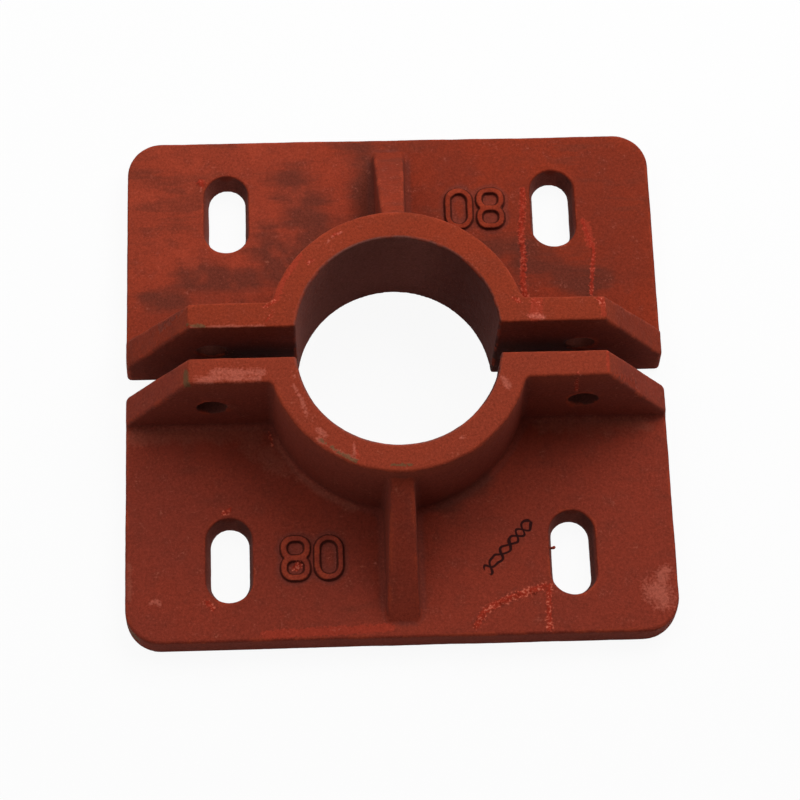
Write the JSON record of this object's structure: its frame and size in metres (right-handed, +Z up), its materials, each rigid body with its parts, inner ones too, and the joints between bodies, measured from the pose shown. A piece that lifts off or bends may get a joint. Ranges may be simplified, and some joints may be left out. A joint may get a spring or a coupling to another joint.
{
  "type": "tube clamp base flange",
  "caption": "Split cast-iron base flange: two ribbed halves with slotted plates clamp a pipe in a raised collar through bolted lugs.",
  "frame": {"origin": "pipe axis at the underside of the plates, midway between the two halves", "axes": "+Z up the pipe axis away from the base; X along the split between the halves, the lugs' bolts run along Y; the front half is at -Y"},
  "size_m": [0.2452, 0.2412, 0.065],
  "materials": {
    "casting": "as-cast surface under matt red oxide primer"
  },
  "bodies": {
    "root": {"front_half": "casting", "rear_half": "casting"}
  },
  "joints": []
}
